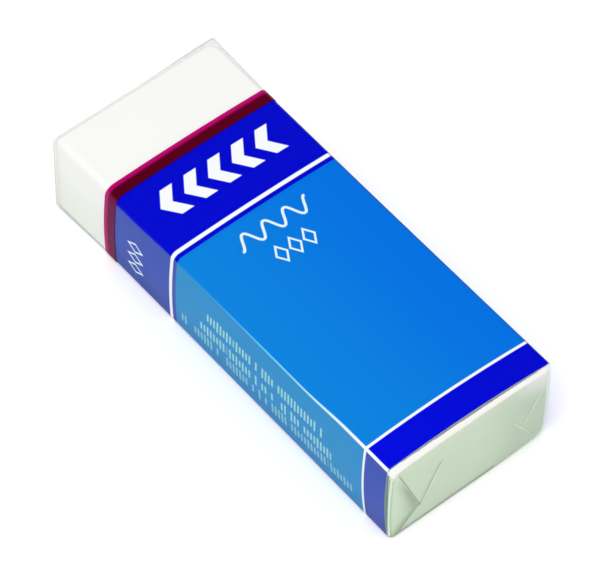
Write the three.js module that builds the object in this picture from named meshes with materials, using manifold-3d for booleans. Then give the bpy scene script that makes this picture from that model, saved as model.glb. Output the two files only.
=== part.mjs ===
// A plastic eraser as it is sold: a soft white block in a printed card sleeve, sealed in a
// clear film overwrap that opens with a tear tape. Sizes are in millimetres. +X runs towards
// the bare end, +Z is up, and the origin is under the middle of the wrapped pack.
import * as THREE from "three";
import { mergeVertices } from "three/addons/utils/BufferGeometryUtils.js";
import Module from "manifold-3d";

// Eraser block, measured at its free end. The card squeezes the rest of it a little slimmer.
const eraserLength = 60.5;
const eraserWidth = 23.16;
const eraserHeight = 12.5;
const sideSqueeze = 0.35;
const broadSqueeze = 0.23;
const eraserRise = 0.1;
const eraserEdgeRadius = 0.45;
const eraserCornerRadius = 0.7;
const eraserRimRadius = 0.5;
const eraserReach = 0.55;
const swellRun = 1.6;
const slipClearance = 0.06;

// Card sleeve, folded from one blank with its glue lap inside the hidden narrow side.
const sleeveLength = 50.15;
const cardThickness = 0.25;
const mouthRise = 0.62;
const mouthSwell = 0.42;
const mouthCreaseRadius = 0.4;
const gripRise = 0.28;
const gripSwell = 0.28;
const gripCreaseRadius = 0.85;
const lapHeight = 8.5;
const glueThickness = 0.06;
const glueMargin = 0.8;
const bondGap = 0.02;

// Clear film overwrap, with an envelope fold on each end and one lap seam along it.
const filmThickness = 0.06;
const filmClearance = 0.04;
const foldStep = 0.12;
const nearGap = 0.06;
const farGap = 0.13;
const capFlare = 0.2;
const capLooseness = 0.06;
const capEdgeRadius = 0.3;
const capCornerRadius = 0.3;
const seamWidth = 5;
const seamMiddle = 6.4;

// Folded flaps of each film end.
const flapMargin = 0.3;
const topFlapLength = 8.5;
const topFlapRootInset = 0.7;
const topFlapTipInset = 4.1;
const bottomFlapLength = 8.4;
const bottomFlapRootInset = 2.1;
const bottomFlapTipInset = 6.9;

// Tear tape, which parts the film into a cap and a body.
const tapeWidth = 2.04;
const tapeOverCard = 1.4;
const partingGap = 0.05;
const tabLength = 4.5;
const tabThickness = 0.08;

// Fineness of the curved surfaces.
const bendSteps = 5;
const panelSteps = 8;
const flatSteps = 1;
const sleeveStations = 8;
const swellStations = 4;

// How far a cutting solid runs past the face that it cuts.
const cutOverrun = 1;

// Stack of layers, from the eraser outwards and up from the surface that the pack lies on.
const sleeveWidth = eraserWidth + 2 * (slipClearance + cardThickness - sideSqueeze);
const sleeveHeight = eraserHeight + 2 * (slipClearance + cardThickness - broadSqueeze);
const wrapHalfWidth = sleeveWidth / 2 + filmClearance + filmThickness;
const wrapHeight = sleeveHeight + 2 * (filmClearance + filmThickness);
const sleeveBottom = filmThickness + filmClearance;
const sleeveTop = sleeveBottom + sleeveHeight;
const lapInset = cardThickness + glueThickness + 2 * bondGap;

// How the film bends round onto each end. Near the mouth it can only bend past the card.
const bodyBendRadius = eraserReach + nearGap + filmThickness;
const bodyBends = { corner: bodyBendRadius, edge: bodyBendRadius };
const capBends = { corner: capCornerRadius, edge: capEdgeRadius };

// Stations along the length.
const foldDepth = filmThickness + 2 * foldStep;
const wrapLength = foldDepth + nearGap + eraserLength + farGap + foldDepth;
const wrapNear = -wrapLength / 2;
const wrapFar = wrapLength / 2;
const eraserNear = wrapNear + foldDepth + nearGap;
const eraserFar = eraserNear + eraserLength;
const sleeveNear = eraserNear + eraserReach;
const sleeveFar = sleeveNear + sleeveLength;
const tapeNear = sleeveFar - tapeOverCard;
const tapeFar = tapeNear + tapeWidth;
const bodyMouth = tapeNear - partingGap;
const capMouth = tapeFar + partingGap;

const wasm = await Module();
wasm.setup();

function toSolid(geometry) {
  const bare = geometry.clone();
  bare.deleteAttribute("normal");
  bare.deleteAttribute("uv");
  const welded = mergeVertices(bare);
  const mesh = new wasm.Mesh({
    numProp: 3,
    vertProperties: new Float32Array(welded.getAttribute("position").array),
    triVerts: new Uint32Array(welded.getIndex().array),
  });
  return new wasm.Manifold(mesh);
}

function toGeometry(solid) {
  const { vertProperties, triVerts } = solid.getMesh();
  const geometry = new THREE.BufferGeometry();
  geometry.setAttribute("position", new THREE.BufferAttribute(vertProperties, 3));
  geometry.setIndex(new THREE.BufferAttribute(triVerts, 1));
  geometry.computeVertexNormals();
  return geometry;
}

// Points of a quarter bend about (y, z), starting at an angle in quarter turns.
function bend(y, z, radius, quarter) {
  return Array.from({ length: bendSteps + 1 }, (_, step) => {
    const angle = ((quarter + step / bendSteps) * Math.PI) / 2;
    return new THREE.Vector2(y + radius * Math.cos(angle), z + radius * Math.sin(angle));
  });
}

// Points of a panel between two bends, without its ends.
function panel(from, to, steps = panelSteps) {
  return Array.from({ length: steps - 1 }, (_, step) => from.clone().lerp(to, (step + 1) / steps));
}

// A closed ring around the pack, anticlockwise seen from the bare end.
function ring({ left, right, bottom, top, radius }) {
  const bends = [
    bend(right - radius, bottom + radius, radius, -1),
    bend(right - radius, top - radius, radius, 0),
    bend(left + radius, top - radius, radius, 1),
    bend(left + radius, bottom + radius, radius, 2),
  ];
  return bends.flatMap((points, corner) => {
    const bottomNext = corner + 1 === bends.length;
    const next = bends[(corner + 1) % bends.length];
    return [...points, ...panel(points.at(-1), next[0], bottomNext ? flatSteps : panelSteps)];
  });
}

// Bulges a place in the section: the top rises, the sides swell, and the bottom stays flat.
function bulge(point, { rise, swell }) {
  const across = 1 - (point.x / wrapHalfWidth) ** 2;
  const up = point.y / wrapHeight;
  const belt = 1 - (2 * up - 1) ** 2;
  return new THREE.Vector2(
    point.x * (1 + (swell / wrapHalfWidth) * belt),
    point.y * (1 + (rise / wrapHeight) * across * up),
  );
}

// Triangles over a section whose outline goes out along one face and back along the other.
function stripCap(points) {
  const pairs = points.length / 2;
  return Array.from({ length: pairs - 1 }, (_, i) => {
    const back = points.length - 1 - i;
    return [
      [i, i + 1, back - 1],
      [i, back - 1, back],
    ];
  }).flat();
}

function plainCap(points) {
  return THREE.ShapeUtils.triangulateShape(points, []);
}

// Skins a row of rings with equal numbers of points into one closed solid with flat ends.
function loft(sections, cap = plainCap) {
  const count = sections[0].points.length;
  const positions = sections.flatMap(({ x, points }) => points.flatMap((p) => [x, p.x, p.y]));
  const faces = [];
  for (let row = 0; row + 1 < sections.length; row += 1) {
    for (let i = 0; i < count; i += 1) {
      const a = row * count + i;
      const b = row * count + ((i + 1) % count);
      faces.push(a, b, b + count, a, b + count, a + count);
    }
  }
  const last = (sections.length - 1) * count;
  cap(sections[0].points).forEach(([a, b, c]) => faces.push(a, c, b));
  cap(sections.at(-1).points).forEach(([a, b, c]) => faces.push(last + a, last + b, last + c));
  const geometry = new THREE.BufferGeometry();
  geometry.setAttribute("position", new THREE.Float32BufferAttribute(positions, 3));
  geometry.setIndex(faces);
  geometry.computeVertexNormals();
  return geometry;
}

// A range of evenly spaced stations, both ends included.
function stations(from, to, steps) {
  return Array.from({ length: steps + 1 }, (_, i) => THREE.MathUtils.lerp(from, to, i / steps));
}

// How far a rounded end is drawn in at a depth behind its flat face.
function drawIn(depth, radius) {
  const run = Math.max(0, radius - depth);
  return radius - Math.sqrt(radius ** 2 - run ** 2);
}

// Stations that follow the rounding of an end, from its flat face inwards.
function endDepths(largest) {
  return Array.from({ length: bendSteps + 1 }, (_, step) => {
    const angle = ((step / bendSteps) * Math.PI) / 2;
    return largest * (1 - Math.cos(angle));
  });
}

// One section of a form, drawn in towards a rounded end.
function roundedSection(form, x, depth, { corner, edge }) {
  const size = form(x);
  const side = drawIn(depth, corner);
  const lift = drawIn(depth, edge);
  const points = ring({
    left: size.left + side,
    right: size.right - side,
    bottom: size.bottom + lift,
    top: size.top - lift,
    radius: size.radius,
  });
  return { x, points: points.map((point) => bulge(point, size)) };
}

// The same form seen a set distance inside its surface.
function inside(form, inset) {
  return (x) => {
    const size = form(x);
    return {
      ...size,
      left: size.left + inset,
      right: size.right - inset,
      bottom: size.bottom + inset,
      top: size.top - inset,
      radius: size.radius - inset,
    };
  };
}

function eraserForm(x) {
  const free = THREE.MathUtils.smoothstep(x, capMouth, capMouth + swellRun);
  const gripInset = cardThickness + slipClearance;
  const grip = {
    left: -sleeveWidth / 2 + lapInset + gripInset,
    right: sleeveWidth / 2 - gripInset,
    bottom: sleeveBottom + gripInset,
    top: sleeveTop - gripInset,
    radius: gripCreaseRadius - cardThickness,
    rise: gripRise - slipClearance,
    swell: 0,
  };
  const bare = {
    left: -eraserWidth / 2,
    right: eraserWidth / 2,
    bottom: (wrapHeight - eraserHeight) / 2,
    top: (wrapHeight + eraserHeight) / 2,
    radius: eraserEdgeRadius,
    rise: eraserRise,
    swell: 0,
  };
  const blended = Object.keys(grip).map((key) => [key, THREE.MathUtils.lerp(grip[key], bare[key], free)]);
  return Object.fromEntries(blended);
}

function eraserBlock() {
  const rounding = { corner: eraserCornerRadius, edge: eraserRimRadius };
  const depths = endDepths(eraserCornerRadius);
  const near = depths.map((depth) => roundedSection(eraserForm, eraserNear + depth, depth, rounding));
  const swelling = stations(capMouth, capMouth + swellRun, swellStations).map((x) =>
    roundedSection(eraserForm, x, eraserCornerRadius, rounding),
  );
  const far = depths.map((depth) => roundedSection(eraserForm, eraserFar - depth, depth, rounding));
  return loft([...near, ...swelling, ...far.reverse()]);
}

// The sleeve is widest at its near mouth, and tight where the tape crosses its far edge.
function sleeveForm(x) {
  const ease = Math.max(0, 1 - (x - sleeveNear) / sleeveLength) ** 2;
  return {
    left: -sleeveWidth / 2,
    right: sleeveWidth / 2,
    bottom: sleeveBottom,
    top: sleeveTop,
    radius: THREE.MathUtils.lerp(gripCreaseRadius, mouthCreaseRadius, ease),
    rise: THREE.MathUtils.lerp(gripRise, mouthRise, ease),
    swell: THREE.MathUtils.lerp(gripSwell, mouthSwell, ease),
  };
}

// One face of the folded blank, from the glue lap's edge round to the outer panel's free edge.
function blankFace({ left, right, bottom, top, radius }, inset) {
  const lapSide = left + lapInset;
  const r = radius - inset;
  const bends = [
    bend(lapSide + radius, bottom + radius, r, 2),
    bend(right - radius, bottom + radius, r, -1),
    bend(right - radius, top - radius, r, 0),
    bend(left + radius, top - radius, r, 1),
  ];
  const lapEdge = new THREE.Vector2(lapSide + inset, bottom + lapHeight);
  const freeEdge = new THREE.Vector2(left + inset, bottom + gripCreaseRadius);
  const runs = bends.flatMap((points, corner) => {
    const next = corner + 1 < bends.length ? bends[corner + 1][0] : freeEdge;
    return [...points, ...panel(points.at(-1), next, corner === 0 ? flatSteps : panelSteps)];
  });
  return [lapEdge, ...panel(lapEdge, bends[0][0]), ...runs, freeEdge];
}

function cardSleeve() {
  const sections = stations(sleeveNear, sleeveFar, sleeveStations).map((x) => {
    const size = sleeveForm(x);
    const outer = blankFace(size, 0);
    const inner = blankFace(size, cardThickness);
    const points = [...outer, ...inner.reverse()];
    return { x, points: points.map((point) => bulge(point, size)) };
  });
  return loft(sections, stripCap);
}

// The line of adhesive between the glue lap and the panel outside it.
function sleeveGlue() {
  const outerFace = -sleeveWidth / 2 + cardThickness + bondGap;
  const low = sleeveBottom + gripCreaseRadius + glueMargin;
  const high = sleeveBottom + lapHeight - glueMargin;
  const near = sleeveNear + glueMargin;
  const far = sleeveFar - glueMargin;
  const sections = stations(near, far, sleeveStations).map((x) => {
    const points = [
      ...stations(high, low, panelSteps).map((z) => new THREE.Vector2(outerFace, z)),
      ...stations(low, high, panelSteps).map((z) => new THREE.Vector2(outerFace + glueThickness, z)),
    ];
    return { x, points: points.map((point) => bulge(point, sleeveForm(x))) };
  });
  return loft(sections, stripCap);
}

// Outside of the film over the sleeve. It keeps the mouth's shape, so it slips off in one piece.
function bodyForm() {
  return {
    left: -wrapHalfWidth,
    right: wrapHalfWidth,
    bottom: 0,
    top: wrapHeight,
    radius: mouthCreaseRadius + filmClearance + filmThickness,
    rise: mouthRise,
    swell: mouthSwell,
  };
}

// Outside of the film over the bare end, from the tape's shape to a flat-topped box.
function capForm(x) {
  const along = (x - capMouth) / (wrapFar - capMouth);
  const stand = filmThickness + capLooseness;
  const flare = capFlare * along;
  return {
    left: -eraserWidth / 2 - stand - flare,
    right: eraserWidth / 2 + stand + flare,
    bottom: 0,
    top: (wrapHeight + eraserHeight) / 2 + eraserRise + stand + flare,
    radius: eraserEdgeRadius + stand,
    rise: THREE.MathUtils.lerp(gripRise, 0, along),
    swell: THREE.MathUtils.lerp(gripSwell, 0, along),
  };
}

// Outside of the tape, tight over the card's far edge.
function tapeForm(x) {
  const size = inside(sleeveForm, -filmClearance - filmThickness)(x);
  return { ...size, bottom: 0 };
}

// A box that stands on the hidden side and takes in one band of its height.
function sideBand(near, far, low, high) {
  const depth = wrapHalfWidth;
  const box = new THREE.BoxGeometry(far - near, depth, high - low);
  box.translate((near + far) / 2, -wrapHalfWidth, (low + high) / 2);
  return toSolid(box);
}

// The lap seam: a second layer of film laid on the hidden side of a tube.
function seamOn(form, near, far) {
  const layer = inside(form, -filmThickness);
  const sections = stations(near, far, 1).map((x) => roundedSection(layer, x, 0, { corner: 0, edge: 0 }));
  const band = sideBand(near, far, seamMiddle - seamWidth / 2, seamMiddle + seamWidth / 2);
  return toSolid(loft(sections)).intersect(band);
}

// A folded flap on an end face: a plate whose sides slope in from its root to its tip.
function flap(x, rootHeight, tipHeight, rootInset, tipInset, thickness) {
  const outline = new THREE.Shape([
    new THREE.Vector2(wrapHalfWidth - rootInset, rootHeight),
    new THREE.Vector2(wrapHalfWidth - tipInset, tipHeight),
    new THREE.Vector2(tipInset - wrapHalfWidth, tipHeight),
    new THREE.Vector2(rootInset - wrapHalfWidth, rootHeight),
  ]);
  const plate = new THREE.ExtrudeGeometry(outline, { depth: thickness, bevelEnabled: false });
  const across = new THREE.Vector3(0, 1, 0);
  const up = new THREE.Vector3(0, 0, 1);
  const along = new THREE.Vector3(1, 0, 0);
  plate.applyMatrix4(new THREE.Matrix4().makeBasis(across, up, along));
  plate.translate(x, 0, 0);
  return toSolid(plate);
}

// Both flaps of an envelope fold. The top one is folded first, and the bottom one lies over it.
function foldedFlaps(wallFace, outward, edge) {
  const root = wallFace - (outward * filmThickness) / 2;
  const first = Math.min(root, wallFace + outward * foldStep);
  const second = Math.min(root, wallFace + outward * 2 * foldStep);
  const topRoot = wrapHeight - edge - flapMargin;
  const bottomRoot = edge + flapMargin;
  const topFlap = flap(
    first,
    topRoot,
    topRoot - topFlapLength,
    topFlapRootInset,
    topFlapTipInset,
    foldStep + filmThickness / 2,
  );
  const bottomFlap = flap(
    second,
    bottomRoot,
    bottomRoot + bottomFlapLength,
    bottomFlapRootInset,
    bottomFlapTipInset,
    2 * foldStep + filmThickness / 2,
  );
  return topFlap.add(bottomFlap);
}

// A film cup: a tube with an open mouth at one end and a folded wall at the other.
function filmCup(form, mouth, end, { corner, edge }) {
  const outward = Math.sign(end - mouth);
  const wallFace = end - outward * 2 * foldStep;
  const skin = (inset, open) => {
    const shape = inside(form, inset);
    const face = wallFace - outward * inset;
    const bends = { corner: corner - inset, edge: edge - inset };
    const rounded = endDepths(bends.corner).map((depth) =>
      roundedSection(shape, face - outward * depth, depth, bends),
    );
    const sections = [...rounded, roundedSection(shape, open, corner, bends)];
    return toSolid(loft(outward > 0 ? sections.reverse() : sections));
  };
  const outer = skin(0, mouth);
  const hollow = skin(filmThickness, mouth - outward * cutOverrun);
  const seamEnd = wallFace - outward * corner;
  const seam = seamOn(form, Math.min(mouth, seamEnd), Math.max(mouth, seamEnd));
  const flaps = foldedFlaps(wallFace, outward, edge);
  return toGeometry(outer.add(seam).subtract(hollow).add(flaps));
}

// The tape's band, with the free tab that is gripped to tear it.
function tearTape() {
  const plain = { corner: 0, edge: 0 };
  const tube = (form, near, far) =>
    toSolid(loft(stations(near, far, 2).map((x) => roundedSection(form, x, 0, plain))));
  const outer = tube(tapeForm, tapeNear, tapeFar);
  const hollow = tube(inside(tapeForm, filmThickness), tapeNear - cutOverrun, tapeFar + cutOverrun);
  const seamTop = seamMiddle + seamWidth / 2;
  const tabSkin = tube(inside(tapeForm, -filmThickness - tabThickness), tapeNear, tapeFar);
  const tab = tabSkin.intersect(sideBand(tapeNear, tapeFar, seamTop - tabLength, seamTop));
  return toGeometry(outer.add(seamOn(tapeForm, tapeNear, tapeFar)).add(tab).subtract(hollow));
}

function named(name, geometry, settings) {
  const mesh = new THREE.Mesh(geometry, new THREE.MeshStandardMaterial(settings));
  mesh.name = name;
  return mesh;
}

const clear = { color: 0xdfe8dc, roughness: 0.12, metalness: 0, transparent: true, opacity: 0.3 };
const pack = new THREE.Group();
pack.add(
  named("eraser_block", eraserBlock(), { color: 0xf6f7f1, roughness: 0.7, metalness: 0 }),
  named("card_sleeve", cardSleeve(), { color: 0x0a72dd, roughness: 0.5, metalness: 0 }),
  named("sleeve_glue", sleeveGlue(), { color: 0xe9e2c6, roughness: 0.6, metalness: 0 }),
  named("film_body", filmCup(bodyForm, bodyMouth, wrapNear, bodyBends), clear),
  named("film_cap", filmCup(capForm, capMouth, wrapFar, capBends), clear),
  named("tear_tape", tearTape(), { color: 0x8a0636, roughness: 0.2, metalness: 0 }),
);

export default pack;
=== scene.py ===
# The finished look of a plastic eraser in its printed card sleeve and clear film overwrap.
import math

import bpy
import numpy as np
from mathutils import Matrix, Vector


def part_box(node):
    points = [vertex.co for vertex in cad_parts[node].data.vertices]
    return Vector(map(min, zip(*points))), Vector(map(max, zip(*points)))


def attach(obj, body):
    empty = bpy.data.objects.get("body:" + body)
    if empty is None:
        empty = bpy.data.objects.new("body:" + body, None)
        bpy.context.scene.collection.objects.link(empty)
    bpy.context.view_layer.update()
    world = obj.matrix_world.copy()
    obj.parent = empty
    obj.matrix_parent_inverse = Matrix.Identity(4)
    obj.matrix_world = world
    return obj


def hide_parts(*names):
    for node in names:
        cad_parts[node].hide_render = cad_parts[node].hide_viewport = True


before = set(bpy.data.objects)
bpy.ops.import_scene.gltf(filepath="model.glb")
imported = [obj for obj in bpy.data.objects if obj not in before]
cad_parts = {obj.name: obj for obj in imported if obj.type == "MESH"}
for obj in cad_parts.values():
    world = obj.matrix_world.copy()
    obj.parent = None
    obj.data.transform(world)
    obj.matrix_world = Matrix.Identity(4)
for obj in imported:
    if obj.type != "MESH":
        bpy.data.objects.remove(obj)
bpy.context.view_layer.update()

# The pack's lengths are in millimetres, and its meshes are made in metres.
MM = 0.001

# The pack's front is the narrow side that faces the viewer, towards +Y. Radii of a section are
# those of its corners at the front's foot, the front's top, the back's top and the back's foot.
# Bends round an end are those at its front, back, bottom and top.

# Card sleeve.
SLEEVE_HALF = 11.62
SLEEVE_HEIGHT = 12.66
CARD = 0.25
LAP_HEIGHT = 8.5
LAP_INSET = 0.35
FREE_EDGE = 0.85
PANEL_RISE = 0.28
PANEL_SWELL = 0.28
WAIST_RADII = (0.5, 0.55, 0.4, 0.6)
WAIST_BACK = 0.16
EDGE_RADII = (0.5, 1.1, 0.7, 0.6)
EDGE_BACK = 0.34
EDGE_START = -2

# The card's near mouth, which isn't quite square.
MOUTH_RADII = (0.3, 0.4, 0.35, 0.4)
MOUTH_SPREAD = 0.04
MOUTH_RISE = 0.62
MOUTH_SWELL = 0.44
MOUTH_SLACK = 0.12
MOUTH_BACK = 0.2
MOUTH_TRIM = 0.18
MOUTH_SKEW = 0.014
MOUTH_LEAN = 0.035
SKEW_PLACES = (-29, 0)

# Where the tape crosses the pack askew.
SLANT = 0.4
SLANT_TOP = 0.1
SLANT_PLACES = (-10, 19, 21.5, 29)
SLANT_SHARES = (0, 1, 1, 0)

# Eraser block, slimmer where the card grips it.
BLOCK_WIDTH = 23.16
BLOCK_HEIGHT = 12.5
BLOCK_RISE = 0.1
BLOCK_RADII = (0.45, 0.7, 0.45, 0.45)
BLOCK_REACH = 0.13
BLOCK_FLARE = 0.14
BLOCK_BACK = 0.2
NEAR_ROUNDING = (0.5, 0.7, 0.5, 0.5)
FAR_ROUNDING = (0.35, 1.7, 1.0, 0.3)
ROUNDING_MARGIN = 0.3
GRIP_HALF = 11.23
GRIP_CLEARANCE = 0.31
GRIP_RISE = 0.2
GRIP_RADII = (0.6, 0.6, 0.6, 0.6)
SWELL_RUN = 0.35

# Film over the sleeve.
FILM = 0.05
FILM_GAP = 0.03
NEAR_INSET = 0.24
NEAR_BENDS = (0.3, 0.85, 0.15, 0.3)
NEAR_LEVELS = (0.03, 0.06)
NEAR_ROOT_RISE = 0.4
END_RADII = (0.8, 0.5, 0.5, 1.3)
END_SPREAD = 0.08
END_FOOT = 0.08
END_SINK = 0.03
END_RISE = 0.5
END_SWELL = 0.3
END_SLACK = 0.2
END_TUCK = 0.3
END_LIFT = 0.6
LIFT_ACROSS = (2, 12)

# Film over the bare end.
FAR_INSET = 0.18
FAR_BENDS = (0.2, 0.35, 0.5, 0.3)
FAR_LEVELS = (0.02, 0.04)
CAP_RADII = (0.5, 0.8, 0.5, 0.5)
CAP_STAND = 0.12
CAP_FLARE = 0.42
CAP_TOP_FLARE = 0.2
CAP_SWELL = 0.2
CAP_BACK = 0.25
CAP_NARROWING = 0.14
CAP_SKEW = 0.3
CAP_SKEW_ACROSS = (-1, 11)

# Lap seam, and the tape with its pull tab.
SEAM_LOW = 3.9
SEAM_HIGH = 8.9
SEAM_STAND = 0.01
CAP_SEAM_INSET = 1.0
TAPE = 0.06
TAPE_INSET = 0.08
TAB = 0.1
TAB_LENGTH = 4.5
TAB_STAND = 0.02
TAB_LIFT = 0.5

# Fineness of the meshes.
ARC_STEPS = 8
END_STEPS = 14
END_RINGS = (0.93, 0.8, 0.6, 0.35, 0.12)
BROAD_STEPS = 48
NARROW_STEPS = 26
SIDE_STEPS = 2 * (NARROW_STEPS, BROAD_STEPS)
SLEEVE_STEPS = 100
BLOCK_STATIONS = 120
BODY_STATIONS = 60
CAP_STATIONS = 24
TAPE_STATIONS = 9
STRIP_ROWS = 13
FLAP_ROWS = 32
FLAP_COLUMNS = 30
TUCK_STEPS = 13
SHARP_ANGLE = math.radians(35)


def box_mm(node):
    low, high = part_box(node)
    return np.array(low) / MM, np.array(high) / MM


sleeve_low, sleeve_high = box_mm("card_sleeve")
block_low, block_high = box_mm("eraser_block")
body_low, body_high = box_mm("film_body")
cap_low, cap_high = box_mm("film_cap")
tape_low, tape_high = box_mm("tear_tape")

tape_far = tape_high[0] - TAPE_INSET
sleeve_near = sleeve_low[0]
sleeve_far = sleeve_high[0]
sleeve_mouth = sleeve_near + MOUTH_TRIM
sleeve_bottom = sleeve_low[2]
sleeve_top = sleeve_bottom + SLEEVE_HEIGHT
wrap_half = SLEEVE_HALF + FILM_GAP + FILM
wrap_height = sleeve_top + sleeve_bottom
near_wall = body_low[0] + NEAR_INSET
far_wall = cap_high[0] - FAR_INSET


# Meshes

class Shape:
    """Points and faces of one piece, in millimetres."""

    def __init__(self):
        self.points = []
        self.places = []
        self.faces = []
        self.looks = []

    def grid(self, points, places=None):
        """Adds a grid of points, and returns their numbers in the same layout."""
        points = np.asarray(points, float)
        first = len(self.points)
        self.points.extend(points.reshape(-1, 3))
        if places is not None:
            self.places.extend(np.asarray(places, float).reshape(-1, 2))
        return first + np.arange(len(self.points) - first).reshape(points.shape[:-1])

    def face(self, corners, look, flip):
        corners = [int(corner) for corner in corners]
        middle = sum(self.points[corner] for corner in corners) / len(corners)
        self.faces.append(corners[::-1] if flip else corners)
        self.looks.append(look(middle) if callable(look) else look)

    def skin(self, numbers, look=0, closed=False, flip=False):
        """Covers a grid of point numbers with four-sided faces."""
        numbers = np.asarray(numbers)
        if closed:
            numbers = np.concatenate([numbers, numbers[:, :1]], axis=1)
        for low, high in zip(numbers[:-1], numbers[1:]):
            for i in range(len(low) - 1):
                self.face((low[i], low[i + 1], high[i + 1], high[i]), look, flip)

    def plate(self, front, back, look=0, flip=False):
        """Two grids of points joined at their edges into a closed sheet."""
        self.skin(front, look, flip=flip)
        self.skin(back, look, flip=not flip)
        ends = ((back[0], front[0]), (front[-1], back[-1]))
        sides = ((front[:, 0], back[:, 0]), (back[:, -1], front[:, -1]))
        for pair in ends + sides:
            self.skin(pair, look, flip=flip)

    def build(self, name, materials):
        mesh = bpy.data.meshes.new(name)
        mesh.from_pydata(np.array(self.points) * MM, [], self.faces)
        for material in materials:
            mesh.materials.append(material)
        mesh.polygons.foreach_set("material_index", self.looks)
        mesh.polygons.foreach_set("use_smooth", [True] * len(self.faces))
        if self.places:
            corners = np.zeros(len(mesh.loops), np.int32)
            mesh.loops.foreach_get("vertex_index", corners)
            layer = mesh.uv_layers.new(name="print")
            layer.data.foreach_set("uv", np.array(self.places, np.float32)[corners].ravel())
        mesh.validate()
        mesh.set_sharp_from_angle(angle=SHARP_ANGLE)
        made = bpy.data.objects.new(name, mesh)
        bpy.context.scene.collection.objects.link(made)
        return made


def smooth_step(value, low, high):
    t = np.clip((value - low) / (high - low), 0, 1)
    return t * t * (3 - 2 * t)


def mixed(first, second, share):
    return {key: first[key] + (second[key] - first[key]) * share for key in first}


def section(half, bottom, top, radii, rise=0.0, swell=0.0, back=0.0, slack=0.0, lift=0.0):
    """A rounded rectangle whose top rises and whose narrow sides swell.

    Its back stands further out by one length and swells less by another, and its foot may lift there.
    """
    return {
        "left": -half - back,
        "right": half,
        "bottom": bottom,
        "top": top,
        "radii": np.array(radii),
        "rise": rise,
        "swell": swell,
        "slack": slack,
        "lift": lift,
    }


def offset(form, distance):
    """The same form with its surface moved out by a distance."""
    grown = dict(form)
    for side, sign in (("left", -1), ("bottom", -1), ("right", 1), ("top", 1), ("radii", 1)):
        grown[side] = form[side] + sign * distance
    return grown


def bend(y, z, radius, quarter):
    angles = (quarter + np.linspace(0, 1, ARC_STEPS + 1)) * math.pi / 2
    return np.stack([y + radius * np.cos(angles), z + radius * np.sin(angles)], axis=1)


def run(start, end, steps):
    """Points between two places, without the places themselves."""
    shares = np.linspace(0, 1, steps + 1)[1:-1, None]
    return start + (end - start) * shares


def bulge(points, form):
    """The broad top rises, the narrow sides swell, and the foot may lift towards the back."""
    y, z = points[..., 0], points[..., 1]
    across = 1 - (y / wrap_half) ** 2
    up = z / wrap_height
    belt = 1 - (2 * up - 1) ** 2
    swell = form["swell"] - form["slack"] * (y < 0)
    wide = y * (1 + swell / wrap_half * belt)
    high = z * (1 + form["rise"] / wrap_height * across * up)
    high = high + form["lift"] * smooth_step(-y, *LIFT_ACROSS) * (1 - up)
    return np.stack([wide, high], axis=-1)


def ring(form, insets=(0, 0, 0, 0)):
    """A closed section around the pack, drawn in at the front, back, bottom and top."""
    front, back, low, high = insets
    left, right = form["left"] + back, form["right"] - front
    bottom, top = form["bottom"] + low, form["top"] - high
    front_foot, front_top, back_top, back_foot = form["radii"]
    bends = [
        bend(right - front_foot, bottom + front_foot, front_foot, -1),
        bend(right - front_top, top - front_top, front_top, 0),
        bend(left + back_top, top - back_top, back_top, 1),
        bend(left + back_foot, bottom + back_foot, back_foot, 2),
    ]
    parts = []
    for corner, points in enumerate(bends):
        following = bends[(corner + 1) % len(bends)]
        parts += [points, run(points[-1], following[0], SIDE_STEPS[corner])]
    return bulge(np.concatenate(parts), form)


def at_station(x, points):
    """A section in space, with its foot further along where the tape crosses the pack askew."""
    share = np.interp(x, SLANT_PLACES, SLANT_SHARES)
    up = points[:, 1] / wrap_height
    return np.column_stack([x + share * (SLANT * (1 - up) - SLANT_TOP), points])


def mouth_shift(y, z):
    """How far the card's near mouth is out of square."""
    return MOUTH_SKEW * y + MOUTH_LEAN * (z - wrap_height) * (0.5 + 0.5 * y / wrap_half)


def card_station(x, points):
    """A section of the card, whose near mouth isn't quite square."""
    placed = at_station(x, points)
    placed[:, 0] += mouth_shift(points[:, 0], points[:, 1]) * np.interp(x, SKEW_PLACES, (1, 0))
    return placed


def cap_lean(y):
    """How far the cap's far wall stands out towards the back."""
    return CAP_SKEW * smooth_step(-y, *CAP_SKEW_ACROSS)


def no_lean(y):
    """The near wall is upright from front to back."""
    return np.zeros_like(y)


def cap_station(x, points):
    """A section of the cap, which leans more towards its far wall."""
    placed = at_station(x, points)
    placed[:, 0] += cap_lean(points[:, 0]) * np.interp(x, (cap_low[0], far_wall), (0, 1))
    return placed


def square_on(x, points):
    """A section that stands square to the pack."""
    return np.column_stack([np.full(len(points), x), points])


def rounded_end(form_at, face, outward, radii, place=at_station):
    """Sections from a flat end face back along its rounding, which has a radius for each side."""
    rows = []
    for depth in max(radii) * (1 - np.cos(np.linspace(0, math.pi / 2, END_STEPS + 1))):
        insets = []
        for radius in radii:
            reach = max(0.0, radius - depth)
            insets.append(radius - math.sqrt(radius**2 - reach**2))
        x = face - outward * depth
        rows.append(place(x, ring(form_at(x), insets)))
    return rows


def close_end(shape, row, edge, outward, look=0):
    """Fills a flat end with rings that shrink towards its middle."""
    middle = edge.mean(axis=0)
    rows = [row]
    for share in END_RINGS:
        rows.append(shape.grid(middle + (edge - middle) * share))
    shape.skin(rows, look, closed=True, flip=outward < 0)
    shape.face(rows[-1], look, outward < 0)


# Forms of the pieces

def card_section(spread, radii, rise, swell, back, slack=0.0):
    half = SLEEVE_HALF + spread
    return section(half, sleeve_bottom, sleeve_top, radii, rise, swell, back, slack)


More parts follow.
